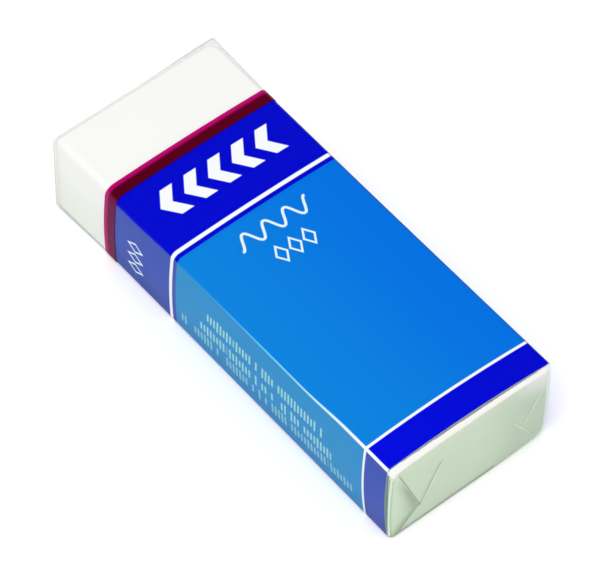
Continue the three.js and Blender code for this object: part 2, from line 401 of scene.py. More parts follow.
mouth_form = card_section(MOUTH_SPREAD, MOUTH_RADII, MOUTH_RISE, MOUTH_SWELL, MOUTH_BACK, MOUTH_SLACK)
waist_form = card_section(0.0, WAIST_RADII, PANEL_RISE, PANEL_SWELL, WAIST_BACK)
edge_form = card_section(0.0, EDGE_RADII, PANEL_RISE, PANEL_SWELL, EDGE_BACK)
near_end_form = section(
    SLEEVE_HALF + END_SPREAD,
    END_FOOT,
    wrap_height - END_SINK,
    END_RADII,
    rise=END_RISE,
    swell=END_SWELL,
    back=-END_TUCK,
    slack=END_SLACK,
    lift=END_LIFT,
)


def sleeve_form(x):
    """Wide open at the near mouth, and rounded off where the tape crosses the far edge."""
    away = np.clip(1 - (x - sleeve_near) / (sleeve_far - sleeve_near), 0, 1)
    gripped = mixed(waist_form, edge_form, smooth_step(x, EDGE_START, sleeve_far))
    return mixed(gripped, mouth_form, away**2)


def film_form(x):
    """Close over the card, and drawn in past its mouth towards the near wall."""
    over_card = offset(sleeve_form(x), FILM_GAP + FILM)
    beyond = float(np.clip((sleeve_mouth - x) / (sleeve_mouth - near_wall), 0, 1))
    return mixed(over_card, near_end_form, beyond)


def tape_form(x):
    return offset(sleeve_form(x), FILM_GAP + TAPE)


def block_form(x):
    """Squeezed by the card, and full beyond the tape."""
    grip_bottom = sleeve_bottom + GRIP_CLEARANCE
    grip_top = sleeve_top - GRIP_CLEARANCE
    bottom = (wrap_height - BLOCK_HEIGHT) / 2
    half = BLOCK_WIDTH / 2 + BLOCK_FLARE * smooth_step(x, tape_far, block_high[0])
    gripped = section(GRIP_HALF, grip_bottom, grip_top, GRIP_RADII, GRIP_RISE)
    bare = section(half, bottom, bottom + BLOCK_HEIGHT, BLOCK_RADII, BLOCK_RISE, back=BLOCK_BACK)
    return mixed(gripped, bare, float(smooth_step(x, tape_high[0] - SWELL_RUN, tape_high[0])))


def cap_form(x):
    """Close to the block at the tape, and further off at the far end, more so at the front."""
    along = (x - cap_low[0]) / (cap_high[0] - cap_low[0])
    half = BLOCK_WIDTH / 2 + CAP_STAND + CAP_FLARE * along
    top = (wrap_height + BLOCK_HEIGHT) / 2 + BLOCK_RISE + CAP_STAND + CAP_TOP_FLARE * along
    rise = PANEL_RISE * (1 - along)
    swell = CAP_SWELL * (1 - along)
    return section(half, 0.0, top, CAP_RADII, rise, swell, back=CAP_BACK - CAP_NARROWING * along)


# Pieces

def vinyl_block():
    """The eraser, slimmer in the card's grip and rounded at both ends."""
    shape = Shape()
    near_face, far_face = block_low[0], block_high[0] + BLOCK_REACH
    near = rounded_end(block_form, near_face, -1, NEAR_ROUNDING, square_on)
    far = rounded_end(block_form, far_face, 1, FAR_ROUNDING, square_on)
    first = near_face + max(NEAR_ROUNDING) + ROUNDING_MARGIN
    last = far_face - max(FAR_ROUNDING) - ROUNDING_MARGIN
    body = []
    for x in np.linspace(first, last, BLOCK_STATIONS):
        body.append(square_on(x, ring(block_form(x))))
    rows = shape.grid(near + body + far[::-1])
    shape.skin(rows, closed=True, flip=True)
    close_end(shape, rows[0], near[0], -1)
    close_end(shape, rows[-1], far[0], 1)
    return shape


def blank_face(form, inset):
    """One face of the folded blank, from the lap's edge to the outer panel's free edge.

    The second result is how far round the sleeve each point lies from the top's middle line.
    """
    left, right, bottom, top = form["left"], form["right"], form["bottom"], form["top"]
    front_foot, front_top, back_top, back_foot = form["radii"]
    lap_side = left + LAP_INSET
    bends = [
        (bend(lap_side + back_foot, bottom + back_foot, back_foot - inset, 2), back_foot),
        (bend(right - front_foot, bottom + front_foot, front_foot - inset, -1), front_foot),
        (bend(right - front_top, top - front_top, front_top - inset, 0), front_top),
        (bend(left + back_top, top - back_top, back_top - inset, 1), back_top),
    ]
    creases = [3 * SLEEVE_HALF + SLEEVE_HEIGHT, SLEEVE_HALF + SLEEVE_HEIGHT, SLEEVE_HALF, -SLEEVE_HALF]
    points = [np.array([[lap_side + inset, bottom + LAP_HEIGHT]])]
    girth = [np.array([creases[0] + LAP_HEIGHT])]
    for (arc, radius), crease, count in zip(bends, creases, SIDE_STEPS):
        around = np.linspace(crease + radius, crease - radius, ARC_STEPS + 1)
        points += [run(points[-1][-1], arc[0], count), arc]
        girth += [run(girth[-1][-1], around[0], count)[:, 0], around]
    free_edge = np.array([left + inset, bottom + FREE_EDGE])
    last = creases[-1] - SLEEVE_HEIGHT + FREE_EDGE
    points += [run(points[-1][-1], free_edge, NARROW_STEPS), free_edge[None]]
    girth += [run(girth[-1][-1], last, NARROW_STEPS)[:, 0], np.array([last])]
    return np.concatenate(points), np.concatenate(girth)


def card_blank():
    """The folded card, printed outside and bare inside and on its cut edges."""
    shape = Shape()
    outer, inner, places = [], [], []
    for x in np.linspace(sleeve_mouth, sleeve_far, SLEEVE_STEPS + 1):
        form = sleeve_form(x)
        face, girth = blank_face(form, 0)
        back, _ = blank_face(form, CARD)
        outer.append(card_station(x, bulge(face, form)))
        inner.append(card_station(x, bulge(back, form)))
        places.append(np.column_stack([girth, np.full(len(girth), x - sleeve_near)]))
    out = shape.grid(outer, places)
    back = shape.grid(inner, places)
    printed, board, cut = 0, 1, 2
    shape.skin(out, printed, flip=True)
    shape.skin(back, board)
    shape.skin((out[0], back[0]), cut)
    shape.skin((back[-1], out[-1]), cut)
    shape.skin((back[:, 0], out[:, 0]), cut)
    shape.skin((out[:, -1], back[:, -1]), cut)
    return shape


# Looks of the near film, and how far each reaches from an edge or past the card's mouth. The rim
# and line looks are painted highlights on the film's bends, the strip and dim looks are painted
# shade, and the folded and wall looks carry painted light and shade in their tones.
CLEAR, FOLDED, RIM_HIGHLIGHT, DIM_SHADE, STRIP_SHADE, LINE_HIGHLIGHT, WALL = range(7)
FRONT_DEPTH = 0.3
FRONT_TOP = 0.93
STRIP_REACH = 0.1
STRIP_BELT = 0.3
STRIP_SPREAD = 0.2
LINE_START = 0.08
LINE_END = 0.25
LINE_FOOT = 0.06
TOP_CLEAR = 0.34
FRONT_CLEAR = 0.4
BACK_CLEAR = 0.12
RIM_PLACES = (-11, -6, 0, wrap_half - 0.9, wrap_half - 0.3)
RIM_DEPTHS = (0.6, 0.44, 0.36, 0.22, 0.7)
DIM_SHADE_TOP = 0.5
BACK_LINE = 0.5
PAST_MOUTH = 0.2


def front_look(x, up, beyond):
    """On the front's narrow side a painted shade strip and painted highlight line run up the bend past
    the mouth.
    """
    belt = max(0.0, 1 - (2 * up - 1) ** 2)
    if beyond < STRIP_REACH + STRIP_BELT * belt + STRIP_SPREAD * up:
        return STRIP_SHADE if beyond > 0 else CLEAR
    return LINE_HIGHLIGHT if LINE_START < x - near_wall < LINE_END and up > LINE_FOOT else FOLDED


def body_look(place):
    """The film is clear over the card, white as a painted highlight where it bends over the mouth, and
    pale on the end, with painted shade at its foot and a painted highlight line along its back.
    """
    x, y, z = place
    up = z / wrap_height
    across = max(0.0, 1 - (y / wrap_half) ** 2)
    beyond = sleeve_mouth + mouth_shift(y, z) - x
    if y > wrap_half - FRONT_DEPTH and up < FRONT_TOP:
        return front_look(x, up, beyond)
    if beyond < TOP_CLEAR * math.sqrt(across) * up:
        return CLEAR
    if z > wrap_height + END_RISE * across - np.interp(y, RIM_PLACES, RIM_DEPTHS):
        return RIM_HIGHLIGHT
    if beyond > PAST_MOUTH and z < DIM_SHADE_TOP:
        return DIM_SHADE
    if beyond > PAST_MOUTH and y < BACK_LINE - wrap_half:
        return LINE_HIGHLIGHT
    return CLEAR if beyond < (FRONT_CLEAR if y > 0 else BACK_CLEAR) else WALL


# The cap's other look, a grey edge of painted shade and reflection, and how far past the block's
# outline it starts.
CAP_EDGE_SHADE = 1
CAP_TOP_DEPTH = 0.6
CAP_TOP_PAST = 0.1
CAP_END_PAST = -0.05
CAP_BACK_PAST = 0.17
CAP_FOOT = 0.35


def cap_look(place):
    """The cap's film shows grey beyond the block's own outline, as painted shade and reflection."""
    x, y, z = place
    past_end = CAP_TOP_PAST if z > wrap_height - CAP_TOP_DEPTH else CAP_END_PAST
    if x > block_high[0] + past_end or y < -BLOCK_WIDTH / 2 - CAP_BACK_PAST or z < CAP_FOOT:
        return CAP_EDGE_SHADE
    return CLEAR


def set_in(form_at, distance):
    """The same forms along the pack, with their surfaces moved in."""
    return lambda x: offset(form_at(x), -distance)


def film_cup(form_at, stations, wall, outward, bends, look, place=at_station):
    """A thin film cup, open at its mouth and closed by a flat wall at its other end."""
    shape = Shape()
    rims = []
    for inset in (0.0, FILM):
        skin_at = set_in(form_at, inset)
        radii = [bend_radius - inset for bend_radius in bends]
        end = rounded_end(skin_at, wall - outward * inset, outward, radii, place)
        tube = [place(x, ring(skin_at(x))) for x in stations]
        rows = shape.grid(end + tube)
        inward = (outward < 0) == (inset == 0)
        shape.skin(rows, look, closed=True, flip=inward)
        close_end(shape, rows[0], end[0], -1 if inward else 1, look)
        rims.append(rows[-1])
    shape.skin(rims, CLEAR, closed=True, flip=outward < 0)
    return shape


# Folded flaps, as rows of a height and the half widths to the front and back there.
APEX = (7.6, 3.45)
TOP_FLAP = ((12.4, 11.08, 11.1), (9.5, 9.94, 10.3), (3.36, 7.54, 7.1))
BOTTOM_FLAP = ((0.45, 10.3, 9.9), (3.55, 7.63, 8.3), (9.36, 4.74, 4.74))

# How a flap leaves the wall at its root, and the ridge and the painted shade and highlight lines along
# its edges.
ROOT_SHARE = 0.15
ROOT_SINK = 0.02
RIDGE_HEIGHT = 0.03
RIDGE_WIDTH = 0.15
LINE_WIDTH = 0.16
SHINE_START = 0.3
SHINE_END = 0.5
SHINE_FOOT = 4.3
TOP_GLEAM = (4.9, 9.6)
BOTTOM_GLEAM = (2.2, 7.2)
PLAIN, SHADE, SHINE, GLEAM = range(4)


def half_widths(z, outline):
    """Half widths to the front and back of a folded flap at a height."""
    heights, fronts, backs = zip(*sorted(outline))
    return np.interp(z, heights, fronts), np.interp(z, heights, backs)


def ply(shape, wall, outward, lean_at, level, outline, rise_at_root, looks):
    """A folded flap from its root on the wall's edge to its tip."""
    root, tip = outline[0][0], outline[-1][0]
    margins = np.array([0, LINE_WIDTH, SHINE_START, SHINE_END])
    front, back = [], []
    for share in np.linspace(0, 1, FLAP_ROWS):
        z = root + (tip - root) * share
        front_half, back_half = half_widths(z, outline)
        inner = np.linspace(front_half - SHINE_END, LINE_WIDTH - back_half, FLAP_COLUMNS)[1:-1]
        y = np.concatenate([front_half - margins, inner, [LINE_WIDTH - back_half, -back_half]])
        lift = rise_at_root * (1 - (y / wrap_half) ** 2) * (1 - share)
        settled = smooth_step(share, 0, ROOT_SHARE)
        rise = level * settled - (FILM + ROOT_SINK) * (1 - settled)
        from_ridge = front_half - (SHINE_START + SHINE_END) / 2 - y
        ridge = RIDGE_HEIGHT * np.exp(-(from_ridge / RIDGE_WIDTH) ** 2)
        for rows, height in ((front, FILM), (back, 0.0)):
            x = wall + lean_at(y) + outward * (rise + height + ridge)
            rows.append(np.column_stack([x, y, z + lift]))

    def look(place):
        return looks(place, *half_widths(place[2], outline))

    turned = (outward < 0) == (tip > root)
    shape.plate(shape.grid(front), shape.grid(back), look, flip=turned)


def top_flap_look(place, front_half, back_half):
    y, z = place[1:]
    if front_half - y < LINE_WIDTH:
        return SHADE
    if back_half + y < LINE_WIDTH and TOP_GLEAM[0] < z < TOP_GLEAM[1]:
        return GLEAM
    return PLAIN


def bottom_flap_look(place, front_half, back_half):
    y, z = place[1:]
    if front_half - y < LINE_WIDTH:
        return SHADE if z > APEX[1] else PLAIN
    if SHINE_START < front_half - y < SHINE_END and z > SHINE_FOOT:
        return SHINE
    if back_half + y < LINE_WIDTH and BOTTOM_GLEAM[0] < z < BOTTOM_GLEAM[1]:
        return GLEAM
    return PLAIN


# Side tucks, from their root by the narrow side to their point.
TUCK_ACROSS = (10.9, 5.5)
TUCK_TOPS = (12.3, 9.2)
TUCK_FEET = (0.9, 3.9)
TUCK_STAND = 0.01


def side_tuck(shape, wall, outward, lean_at, side):
    """The narrow side's film, pushed in first and creased to a blunt point."""
    tops = np.linspace(*TUCK_TOPS, TUCK_STEPS)
    feet = np.linspace(*TUCK_FEET, TUCK_STEPS)
    z = feet + (tops - feet) * np.linspace(0, 1, TUCK_STEPS)[:, None]
    y = np.broadcast_to(side * np.linspace(*TUCK_ACROSS, TUCK_STEPS), z.shape)
    sheets = []
    for height in (TUCK_STAND + FILM, TUCK_STAND):
        x = wall + lean_at(y) + outward * height
        sheets.append(shape.grid(np.stack([x, y, z], axis=-1)))
    outer, inner = sheets
    shape.plate(outer, inner, PLAIN, flip=(side > 0) != (outward > 0))


def end_folds(wall, outward, lean_at, levels, rise_at_root):
    """Side tucks first, then the top flap, and the bottom flap over it."""
    shape = Shape()
    for side in (-1, 1):
        side_tuck(shape, wall, outward, lean_at, side)
    ply(shape, wall, outward, lean_at, levels[0], TOP_FLAP, rise_at_root, top_flap_look)
    ply(shape, wall, outward, lean_at, levels[1], BOTTOM_FLAP, 0.0, bottom_flap_look)
    return shape


def side_strip(form_at, near, far, low, high, stand, thickness, lift=0.0):
    """A strip of film or tape that lies on the hidden narrow side, and may lift at its low edge.

    Its sections are about a millimetre apart.
    """
    shape = Shape()
    z = np.linspace(low, high, STRIP_ROWS)
    stations = np.linspace(near, far, max(3, int(abs(far - near))))
    layers = []
    for height in (stand, stand + thickness):
        rows = []
        for x in stations:
            form = offset(form_at(x), height)
            side = bulge(np.column_stack([np.full(len(z), form["left"]), z]), form)
            side[:, 0] -= lift * (1 - (z - low) / (high - low)) ** 2
            rows.append(at_station(x, side))
        layers.append(shape.grid(rows))
    under, over = layers
    shape.plate(over, under, flip=True)
    return shape


def tape_band():
    """The tape's closed band round the pack."""
    shape = Shape()
    rows = []
    for inset in (0.0, TAPE):
        sections = []
        for x in np.linspace(tape_low[0], tape_far, TAPE_STATIONS):
            sections.append(at_station(x, ring(offset(tape_form(x), -inset))))
        rows.append(shape.grid(sections))
    outer, inner = rows
    shape.skin(outer, closed=True, flip=True)
    shape.skin(inner, closed=True)
    shape.skin((outer[0], inner[0]), closed=True)
    shape.skin((inner[-1], outer[-1]), closed=True)
    return shape


# Materials

def linear(red, green, blue):
    """A colour on the 0 to 255 scale of a screen, as light."""
    def channel(value):
        share = value / 255
        return share / 12.92 if share <= 0.04045 else ((share + 0.055) / 1.055) ** 2.4
    return (channel(red), channel(green), channel(blue), 1.0)


EDGE_SOFTNESS = 0.04
WHITE = (1.0, 1.0, 1.0, 1.0)


class Finish:
    """A material whose colour and relief are worked out by nodes."""

    def __init__(self, name, roughness, specular=0.5):
        self.material = bpy.data.materials.new(name)
        self.material.use_nodes = True
        self.tree = self.material.node_tree
        self.shader = self.tree.nodes["Principled BSDF"]
        self.shader.inputs["Roughness"].default_value = roughness
        self.shader.inputs["Specular IOR Level"].default_value = specular

    def plug(self, socket, value):
        """Links another node's result to a socket, or sets a plain value there."""
        if isinstance(value, bpy.types.NodeSocket):
            self.tree.links.new(value, socket)
        else:
            socket.default_value = value

    def paint(self, colour):
        self.plug(self.shader.inputs["Base Color"], colour)

    def node(self, kind, **inputs):
        made = self.tree.nodes.new(kind)
        for name, value in inputs.items():
            self.plug(made.inputs[name], value)
        return made

    def math(self, operation, first, second=0.0, third=0.0):
        made = self.tree.nodes.new("ShaderNodeMath")
        made.operation = operation
        for socket, value in zip(made.inputs, (first, second, third)):
            self.plug(socket, value)
        return made.outputs[0]

    def times(self, product, *factors):
        for factor in factors:
            product = self.math("MULTIPLY", product, factor)
        return product

    def minus(self, first, second):
        return self.math("SUBTRACT", first, second)

    def apart(self, first, second):
        return self.math("ABSOLUTE", self.minus(first, second))

    def mix(self, share, first, second):
        """The first colour where the share is 0, and the second where it is 1."""
        made = self.tree.nodes.new("ShaderNodeMix")
        made.data_type = "RGBA"
        # Several sockets share a name, so the share and the two colours go by number.
        sockets = (made.inputs[0], made.inputs[6], made.inputs[7])
        for socket, value in zip(sockets, (share, first, second)):
            self.plug(socket, value)
        return made.outputs[2]

    def step(self, value, edge, soft):
        """0 below an edge and 1 above it, or the other way round where soft is below 0."""
        made = self.node("ShaderNodeMapRange", Value=self.minus(value, edge))
        made.interpolation_type = "SMOOTHSTEP"
        made.inputs["From Min"].default_value = -soft
        made.inputs["From Max"].default_value = soft
        return made.outputs["Result"]

    def within(self, value, low, high, soft=EDGE_SOFTNESS):
        """1 between two edges and 0 outside them."""
        return self.times(self.step(value, low, soft), self.step(value, high, -soft))

    def chance(self, value):
        """A number from 0 to 1 that changes at each whole step of the value."""
        made = self.tree.nodes.new("ShaderNodeTexWhiteNoise")
        made.noise_dimensions = "1D"
        self.plug(made.inputs["W"], self.math("FLOOR", value))
        return made.outputs["Value"]

    def own_place(self):
        return self.node("ShaderNodeTexCoord").outputs["Object"]

    def own_axis(self, axis):
        """How far along one of the piece's own axes a point lies, in millimetres."""
        split = self.node("ShaderNodeSeparateXYZ", Vector=self.own_place())
        return self.times(split.outputs[axis], 1 / MM)

    def noise(self, scale, detail):
        made = self.node("ShaderNodeTexNoise", Vector=self.own_place(), Scale=scale, Detail=detail)
        return made.outputs["Fac"]

    def relief(self, height, depth, strength):
        """Raises the surface in the light, by a depth in millimetres."""
        bump = self.node("ShaderNodeBump", Height=height, Distance=depth * MM, Strength=strength)
        self.plug(self.shader.inputs["Normal"], bump.outputs["Normal"])


# Bands of the print along the sleeve, from its near end. The first starts before the sleeve and
# the last ends past it.
DARK_BANDS = ((-1.0, 3.8), (37.5, 38.13), (38.66, 60.0))
WHITE_LINES = ((3.8, 4.15), (38.13, 38.66))

# Chevrons, a wave and diamonds on the broad panels.
CHEVRON_START = 42.25
CHEVRON_END = 46.5
CHEVRON_PITCH = 3.46
CHEVRON_SLOPE = 0.7
CHEVRON_COUNT = 5
CHEVRON_FILL = (0.03, 0.53)
WAVE_MIDDLE = 34.5
WAVE_SWING = 1.05
WAVE_PITCH = 3.0
WAVE_REACH = 5.3
WAVE_LINE = 0.17
DIAMOND_MIDDLE = 30.55
DIAMOND_HALF = 1.5
DIAMOND_PITCH = 2.0
DIAMOND_COUNT = 3
DIAMOND_SQUEEZE = 2.2
DIAMOND_LINE = 0.32

# Print of the narrow side that faces the viewer. Each row of strokes has a height, a start, an
# end and a strength.
STROKE_ROWS = ((8.0, 10.6, 32.0, 0.9), (5.35, 9.5, 33.0, 0.85), (3.15, 5.7, 36.7, 0.6))
STROKE_PITCH = 0.58
STROKE_FILL = (0.25, 0.75)
STROKE_HALF = 0.6
STROKE_SPREAD = 0.38
STROKE_GAPS = 0.16
ROW_DRAW = 31.0
HEIGHT_DRAW = 57.0
SIDE_DIAMOND_HEIGHT = 5.4
SIDE_DIAMOND_MIDDLE = 44.95

# Creases of the print, with a painted highlight, white to cyan, along the front's top and
# painted shade along the back's. The front's ends further round where its bend is rounder. Each
# shift of its end has a place along the sleeve, half the way that it takes and a size.
CREASE_START = SLEEVE_HALF + 0.05
CREASE_SHIFTS = ((11.0, 4.0, 0.34), (42.0, 6.0, 0.5))
CREASE_SOFTNESS = 0.14
CREASE_HIGHLIGHT_WIDTH = 0.2
CREASE_HIGHLIGHT_TAPER = -0.004
CREASE_HIGHLIGHT_RAGGED = 0.08
CREASE_HIGHLIGHT_SOFTNESS = 0.06
CREASE_HIGHLIGHT_END = (27.5, -10.0)
CREASE_HIGHLIGHT_PALING = (12.0, 10.0)
BACK_CREASE_SHADE = (-SLEEVE_HALF - 0.3, -SLEEVE_HALF + 0.25)
BACK_CREASE_SHADE_SOFTNESS = 0.15
BACK_CREASE_SHADE_SHARE = 0.5

# Where the blues change: a place, and half the way that the change takes.
FRONT_FOOT = (SLEEVE_HALF + SLEEVE_HEIGHT, -0.4)
# Painted shade darkens the front's narrow side towards its foot.
SIDE_FOOT_SHADE = (SLEEVE_HALF + SLEEVE_HEIGHT - 2.5, 2.5)
FAR_DARKENING = (30.0, 40.0)

LIGHT_BLUE = linear(8, 131, 223)
LIGHT_BLUE_BACK = linear(0, 114, 228)
DARK_BLUE = linear(0, 8, 226)
DARK_BLUE_BACK = linear(0, 5, 210)
FAR_DARK_BLUE = linear(0, 5, 204)
# The front's narrow side is paler as a painted reflection, and darker at its foot as painted shade.
SIDE_SHEEN_DARK_BLUE = linear(68, 90, 184)
SIDE_SHADED_DARK_FOOT = linear(58, 80, 164)
SIDE_SHEEN_LIGHT_BLUE = linear(52, 148, 208)
SIDE_SHADED_LIGHT_FOOT = linear(44, 132, 192)
WHITE_INK = linear(250, 253, 255)
PALE_INK = linear(228, 248, 255)
MINT_INK = linear(172, 228, 220)
# Painted highlight along the front's top crease, and painted shade along the back's.
CREASE_HIGHLIGHT_CYAN = linear(112, 216, 246)
BACK_CREASE_SHADE_BLUE = linear(12, 36, 84)


def crease_line(finish, along):
    """How far round the sleeve the front's top crease ends."""
    line = CREASE_START
    for place, soft, shift in CREASE_SHIFTS:
        line = finish.math("MULTIPLY_ADD", finish.step(along, place, soft), shift, line)
    return line


def bands(finish, girth, along, crease):
    """Light blue with darker bands. On the narrow side that faces the viewer both are paler, a painted
    reflection, and darker towards its foot, painted shade.
    """
    narrow = finish.step(finish.minus(girth, crease), 0.0, CREASE_SOFTNESS)
    narrow = finish.times(narrow, finish.step(girth, *FRONT_FOOT))
    front = finish.step(girth, 0.0, SLEEVE_HALF)
    foot = finish.step(girth, *SIDE_FOOT_SHADE)
    side_light_sheen = finish.mix(foot, SIDE_SHEEN_LIGHT_BLUE, SIDE_SHADED_LIGHT_FOOT)
    side_dark_sheen = finish.mix(foot, SIDE_SHEEN_DARK_BLUE, SIDE_SHADED_DARK_FOOT)
    colour = finish.mix(narrow, finish.mix(front, LIGHT_BLUE_BACK, LIGHT_BLUE), side_light_sheen)
    dark = finish.mix(front, DARK_BLUE_BACK, DARK_BLUE)
    dark = finish.mix(finish.step(along, *FAR_DARKENING), dark, FAR_DARK_BLUE)
    dark = finish.mix(narrow, dark, side_dark_sheen)
    for low, high in DARK_BANDS:
        colour = finish.mix(finish.within(along, low, high), colour, dark)
    for low, high in WHITE_LINES:
        colour = finish.mix(finish.within(along, low, high), colour, WHITE_INK)
    return colour


def chevrons(finish, across, along):
    """Bold chevrons side by side, from edge to edge of a broad panel."""
    depth = (CHEVRON_END - CHEVRON_START) / 2
    from_middle = finish.apart(along, CHEVRON_START + depth)
    start = CHEVRON_COUNT * CHEVRON_PITCH / 2 - CHEVRON_SLOPE * depth / 2 - CHEVRON_PITCH / 4
    leaning = finish.math("MULTIPLY_ADD", from_middle, CHEVRON_SLOPE, across)
    count = finish.math("MULTIPLY_ADD", leaning, 1 / CHEVRON_PITCH, start / CHEVRON_PITCH)
    stripe = finish.within(finish.math("FRACT", count), *CHEVRON_FILL, soft=0.02)
    row = finish.within(count, 0, CHEVRON_COUNT, soft=0.01)
    return finish.times(stripe, row, finish.within(along, CHEVRON_START, CHEVRON_END))


def wave(finish, across, along):
    """A fine line that swings across a broad panel."""
    turn = finish.times(across, 2 * math.pi / WAVE_PITCH)
    line = finish.math("MULTIPLY_ADD", finish.math("SINE", turn), WAVE_SWING, WAVE_MIDDLE)
    steep = finish.times(finish.math("COSINE", turn), WAVE_SWING * 2 * math.pi / WAVE_PITCH)
    stretch = finish.math("SQRT", finish.math("MULTIPLY_ADD", steep, steep, 1.0))
    away = finish.math("DIVIDE", finish.apart(along, line), stretch)
    drawn = finish.step(away, WAVE_LINE, -EDGE_SOFTNESS)
    return finish.times(drawn, finish.within(across, -WAVE_REACH, WAVE_REACH))


def diamonds(finish, across, along, middle):
    """Outlined diamonds in a row."""
    cell = finish.math("DIVIDE", across, DIAMOND_PITCH)
    wide = finish.times(finish.apart(cell, finish.math("ROUND", cell)), DIAMOND_SQUEEZE)
    long = finish.math("DIVIDE", finish.apart(along, middle), DIAMOND_HALF)
    outline = finish.within(finish.math("ADD", wide, long), 1 - DIAMOND_LINE, 1.0)
    return finish.times(outline, finish.within(cell, -DIAMOND_COUNT / 2, DIAMOND_COUNT / 2))


def side_print(finish, girth, along, colour):
    """Rows of fine upright strokes and a row of diamonds on the front's narrow side."""
    height = finish.minus(SLEEVE_HALF + sleeve_top, girth)
    cell = finish.math("DIVIDE", along, STROKE_PITCH)
    stroke = finish.within(finish.math("FRACT", cell), *STROKE_FILL, soft=0.1)
    for number, (middle, start, end, strength) in enumerate(STROKE_ROWS):
        draw = ROW_DRAW * number
        kept = finish.step(finish.chance(finish.math("ADD", cell, draw)), STROKE_GAPS, soft=0.01)
        taller = finish.chance(finish.math("ADD", cell, HEIGHT_DRAW + draw))
        tall = finish.math("MULTIPLY_ADD", taller, STROKE_SPREAD, STROKE_HALF)
        line = finish.step(finish.apart(height, middle), tall, soft=-0.08)
        share = finish.times(stroke, kept, line, finish.within(along, start, end), strength)
        colour = finish.mix(share, colour, MINT_INK)
    across = finish.minus(height, SIDE_DIAMOND_HEIGHT)
    return finish.mix(diamonds(finish, across, along, SIDE_DIAMOND_MIDDLE), colour, PALE_INK)


def crease_highlight(finish, girth, along, crease):
    """A painted highlight along the front's top crease, ragged like cracked ink, strongest towards the
    near mouth.
    """
    reach = finish.math("MULTIPLY_ADD", along, CREASE_HIGHLIGHT_TAPER, CREASE_HIGHLIGHT_WIDTH)
    reach = finish.math("MAXIMUM", reach, 0.0)
    ragged = finish.noise(scale=700.0, detail=3.0)
    reach = finish.math("MULTIPLY_ADD", ragged, CREASE_HIGHLIGHT_RAGGED, reach)
    line = finish.step(finish.apart(girth, crease), reach, -CREASE_HIGHLIGHT_SOFTNESS)
    return finish.times(line, finish.step(along, *CREASE_HIGHLIGHT_END))


def printed_card():
    finish = Finish("printed_card", roughness=0.3, specular=0.02)
    uv = finish.node("ShaderNodeUVMap")
    uv.uv_map = "print"
    split = finish.node("ShaderNodeSeparateXYZ", Vector=uv.outputs["UV"])
    girth, along = split.outputs["X"], split.outputs["Y"]
    crease = crease_line(finish, along)
    colour = bands(finish, girth, along, crease)
    for across in (girth, finish.minus(2 * SLEEVE_HALF + SLEEVE_HEIGHT, girth)):
        colour = finish.mix(chevrons(finish, across, along), colour, WHITE_INK)
        colour = finish.mix(wave(finish, across, along), colour, PALE_INK)
        colour = finish.mix(diamonds(finish, across, along, DIAMOND_MIDDLE), colour, PALE_INK)
    colour = side_print(finish, girth, along, colour)
    # A painted highlight along the front's top crease, white near the mouth and cyan further on.
    crease_highlight_tint = finish.mix(finish.step(along, *CREASE_HIGHLIGHT_PALING), WHITE_INK, CREASE_HIGHLIGHT_CYAN)
    colour = finish.mix(crease_highlight(finish, girth, along, crease), colour, crease_highlight_tint)
    # Painted shade along the back's top crease.
    back_crease_shade = finish.within(girth, *BACK_CREASE_SHADE, BACK_CREASE_SHADE_SOFTNESS)
    finish.paint(finish.mix(finish.times(back_crease_shade, BACK_CREASE_SHADE_SHARE), colour, BACK_CREASE_SHADE_BLUE))
    finish.relief(finish.noise(scale=900.0, detail=4.0), depth=0.02, strength=0.25)
    return finish.material


def raw_board():
    finish = Finish("raw_board", roughness=0.85, specular=0.2)
    fibres = finish.noise(scale=1500.0, detail=5.0)
    finish.paint(finish.mix(fibres, linear(214, 210, 199), linear(232, 230, 222)))
    finish.relief(fibres, depth=0.03, strength=0.5)
    return finish.material


def cut_edge():
    finish = Finish("cut_edge", roughness=0.9, specular=0.1)
    fibres = finish.noise(scale=3000.0, detail=4.0)
    finish.paint(finish.mix(fibres, linear(204, 212, 216), linear(240, 244, 244)))
    return finish.material


def dried_glue():
    finish = Finish("dried_glue", roughness=0.55)
    blot = finish.noise(scale=400.0, detail=3.0)
    finish.paint(finish.mix(blot, linear(214, 203, 168), linear(234, 226, 198)))
    return finish.material


def vinyl():
    """White vinyl, a little greener and darker towards the foot of the pack, which is painted shade."""
    finish = Finish("vinyl", roughness=0.5, specular=0.3)
    cloud = finish.noise(scale=90.0, detail=3.0)
    white = finish.mix(cloud, linear(250, 251, 246), linear(253, 254, 251))
    # Painted shade towards the foot.
    up = finish.step(finish.own_axis("Z"), edge=6.0, soft=6.0)
    finish.paint(finish.mix(up, linear(238, 243, 233), white))
    finish.relief(finish.noise(scale=1800.0, detail=3.0), depth=0.02, strength=0.3)
    return finish.material


def film_finish(name, alpha, roughness):
    finish = Finish(name, roughness)
    finish.shader.inputs["Alpha"].default_value = alpha
    finish.relief(finish.noise(scale=140.0, detail=2.0), depth=0.1, strength=0.35)
    return finish


def film(name, colour, alpha, roughness):
    finish = film_finish(name, alpha, roughness)
    finish.paint(colour)
    return finish.material


# Tones of the near end's film, at its middle and back first. The back's darker tone is painted
# shade, the front's and top's paler tones are painted light, and the low and foot shares are
# painted shade. A change has a place, across or up the end, and half the way that it takes, below
# 0 where the tone fades there.
FOLDED_TONES = (linear(218, 240, 213), linear(194, 223, 190))
WALL_TONES = (linear(225, 243, 219), linear(204, 227, 201))
FRONT_LIT_TONE = linear(224, 245, 218)
TOP_LIT_TONE = linear(246, 248, 220)
SHADE_TONE = linear(92, 121, 76)
GLOW_TONE = linear(255, 255, 252)
BACK_SHADE_CHANGE = (-5.0, 5.0)
FRONT_LIT_CHANGE = (6.0, 3.0)
TOP_LIT_CHANGE = (12.2, 1.4)
TOP_LIT_SHARE = 0.4
LOW_SHADE_CHANGE = (3.0, -3.0)
LOW_SHADE_SHARE = 0.07
FOOT_SHADE_CHANGE = (0.8, -0.6)
FOOT_SHADE_SHARE = 0.17

